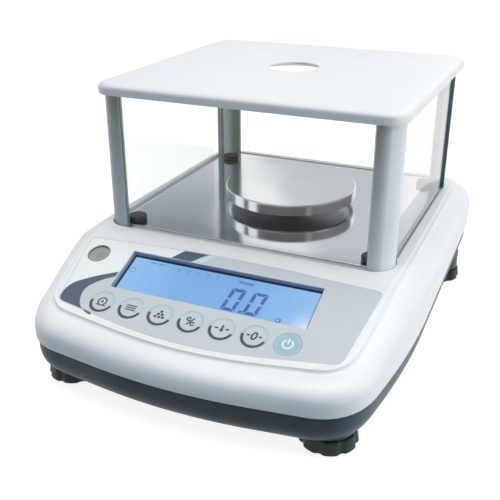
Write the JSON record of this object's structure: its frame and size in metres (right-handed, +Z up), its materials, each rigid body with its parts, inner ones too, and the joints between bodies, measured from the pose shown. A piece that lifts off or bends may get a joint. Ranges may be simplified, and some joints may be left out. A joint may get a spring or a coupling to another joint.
{
  "type": "precision balance",
  "caption": "Top-loading laboratory balance: white two-part housing, sloped key panel with display, round steel pan inside a low glass draft shield with lift-off lid, scalloped levelling feet.",
  "frame": {"origin": "on the bench, at the middle of the footprint", "axes": "+Z up, +Y from the display panel to the rear, +X to the balance's right seen from the front"},
  "size_m": [0.2154, 0.2794, 0.1602],
  "materials": {
    "white_plastic": "satin moulded",
    "teal_plastic": "fine texture",
    "panel_print": "printed film",
    "key_print": "printed film",
    "display_glass": "backlit",
    "clear_glass": "clear",
    "post_plastic": "satin painted",
    "stainless_steel": "brushed",
    "cell_aluminium": "milled",
    "black_plastic": "satin",
    "pad_rubber": "matt",
    "circuit_board": "lacquered",
    "level_grey": "smooth",
    "cable_grey": "smooth"
  },
  "bodies": {
    "housing": {"upper_housing": "white_plastic", "shield_frame": "white_plastic", "lower_housing": "teal_plastic", "panel_overlay": "panel_print", "display_module": "display_glass", "display_board": "circuit_board", "switch_board": "circuit_board", "main_board": "circuit_board", "level_vial": "level_grey", "display_window": "clear_glass", "level_lens": "clear_glass", "pane_left": "clear_glass", "pane_right": "clear_glass", "pane_front": "clear_glass", "pane_rear": "clear_glass", "post_front_left": "post_plastic", "post_front_right": "post_plastic", "post_rear_left": "post_plastic", "post_rear_right": "post_plastic", "chamber_plate": "stainless_steel", "cell_base": "stainless_steel", "cell_bolt_1": "stainless_steel", "cell_bolt_2": "stainless_steel", "overload_stop": "stainless_steel", "serial_port": "stainless_steel", "housing_screw_1": "stainless_steel", "housing_screw_2": "stainless_steel", "housing_screw_3": "stainless_steel", "housing_screw_4": "stainless_steel", "load_cell": "cell_aluminium", "shield_knob_front_left": "black_plastic", "shield_knob_front_right": "black_plastic", "shield_knob_rear_left": "black_plastic", "shield_knob_rear_right": "black_plastic", "port_plate": "black_plastic", "power_inlet": "black_plastic", "ribbon_cable": "cable_grey"},
    "receptor": {"pan_support": "cell_aluminium", "top_bracket": "cell_aluminium"},
    "pan": {"weighing_pan": "stainless_steel"},
    "lid": {"shield_lid": "white_plastic"},
    "key_1_cap": {"key_1": "key_print"},
    "key_2_cap": {"key_2": "key_print"},
    "key_3_cap": {"key_3": "key_print"},
    "key_4_cap": {"key_4": "key_print"},
    "key_5_cap": {"key_5": "key_print"},
    "key_6_cap": {"key_6": "key_print"},
    "key_7_cap": {"key_7": "key_print"},
    "foot_front_left_pad": {"foot_pad_front_left": "pad_rubber"},
    "foot_front_left_wheel": {"foot_wheel_front_left": "teal_plastic", "foot_stud_front_left": "stainless_steel"},
    "foot_front_right_pad": {"foot_pad_front_right": "pad_rubber"},
    "foot_front_right_wheel": {"foot_wheel_front_right": "teal_plastic", "foot_stud_front_right": "stainless_steel"},
    "foot_rear_left_pad": {"foot_pad_rear_left": "pad_rubber"},
    "foot_rear_left_wheel": {"foot_wheel_rear_left": "teal_plastic", "foot_stud_rear_left": "stainless_steel"},
    "foot_rear_right_pad": {"foot_pad_rear_right": "pad_rubber"},
    "foot_rear_right_wheel": {"foot_wheel_rear_right": "teal_plastic", "foot_stud_rear_right": "stainless_steel"}
  },
  "joints": [
    {"name": "receptor_deflection", "type": "slide", "parent": "housing", "child": "receptor", "axis": [0, 0, -1], "range_m": [0, 0.00025], "stiffness_N_per_m": 120000},
    {"name": "pan_lift", "type": "slide", "parent": "receptor", "child": "pan", "axis": [0, 0, 1], "range_m": [0, 0.06]},
    {"name": "lid_lift", "type": "slide", "parent": "housing", "child": "lid", "axis": [0, 0, 1], "range_m": [0, 0.08]},
    {"name": "key_1_press", "type": "slide", "parent": "housing", "child": "key_1_cap", "axis": [0, 0.3649, -0.9311], "range_m": [0, 0.0005], "stiffness_N_per_m": 5000},
    {"name": "key_2_press", "type": "slide", "parent": "housing", "child": "key_2_cap", "axis": [0, 0.3649, -0.9311], "range_m": [0, 0.0005], "stiffness_N_per_m": 5000},
    {"name": "key_3_press", "type": "slide", "parent": "housing", "child": "key_3_cap", "axis": [0, 0.3649, -0.9311], "range_m": [0, 0.0005], "stiffness_N_per_m": 5000},
    {"name": "key_4_press", "type": "slide", "parent": "housing", "child": "key_4_cap", "axis": [0, 0.3649, -0.9311], "range_m": [0, 0.0005], "stiffness_N_per_m": 5000},
    {"name": "key_5_press", "type": "slide", "parent": "housing", "child": "key_5_cap", "axis": [0, 0.3649, -0.9311], "range_m": [0, 0.0005], "stiffness_N_per_m": 5000},
    {"name": "key_6_press", "type": "slide", "parent": "housing", "child": "key_6_cap", "axis": [0, 0.3649, -0.9311], "range_m": [0, 0.0005], "stiffness_N_per_m": 5000},
    {"name": "key_7_press", "type": "slide", "parent": "housing", "child": "key_7_cap", "axis": [0, 0.3649, -0.9311], "range_m": [0, 0.0005], "stiffness_N_per_m": 5000},
    {"name": "foot_front_left_travel", "type": "slide", "parent": "housing", "child": "foot_front_left_pad", "axis": [0, 0, -1], "range_m": [0, 0.004]},
    {"name": "foot_front_left_turn", "type": "hinge", "parent": "foot_front_left_pad", "child": "foot_front_left_wheel", "pos_m": [-0.0783, -0.1085, 0.005], "axis": [0, 0, -1], "range_deg": [0, 1152]},
    {"name": "foot_front_right_travel", "type": "slide", "parent": "housing", "child": "foot_front_right_pad", "axis": [0, 0, -1], "range_m": [0, 0.004]},
    {"name": "foot_front_right_turn", "type": "hinge", "parent": "foot_front_right_pad", "child": "foot_front_right_wheel", "pos_m": [0.0783, -0.1085, 0.005], "axis": [0, 0, -1], "range_deg": [0, 1152]},
    {"name": "foot_rear_left_travel", "type": "slide", "parent": "housing", "child": "foot_rear_left_pad", "axis": [0, 0, -1], "range_m": [0, 0.004]},
    {"name": "foot_rear_left_turn", "type": "hinge", "parent": "foot_rear_left_pad", "child": "foot_rear_left_wheel", "pos_m": [-0.09, 0.1081, 0.005], "axis": [0, 0, -1], "range_deg": [0, 1152]},
    {"name": "foot_rear_right_travel", "type": "slide", "parent": "housing", "child": "foot_rear_right_pad", "axis": [0, 0, -1], "range_m": [0, 0.004]},
    {"name": "foot_rear_right_turn", "type": "hinge", "parent": "foot_rear_right_pad", "child": "foot_rear_right_wheel", "pos_m": [0.09, 0.1081, 0.005], "axis": [0, 0, -1], "range_deg": [0, 1152]}
  ],
  "couplings": [
    {"joint": "foot_front_left_travel", "follows": "foot_front_left_turn", "m_per_rad": 0.00019894},
    {"joint": "foot_front_right_travel", "follows": "foot_front_right_turn", "m_per_rad": 0.00019894},
    {"joint": "foot_rear_left_travel", "follows": "foot_rear_left_turn", "m_per_rad": 0.00019894},
    {"joint": "foot_rear_right_travel", "follows": "foot_rear_right_turn", "m_per_rad": 0.00019894}
  ]
}
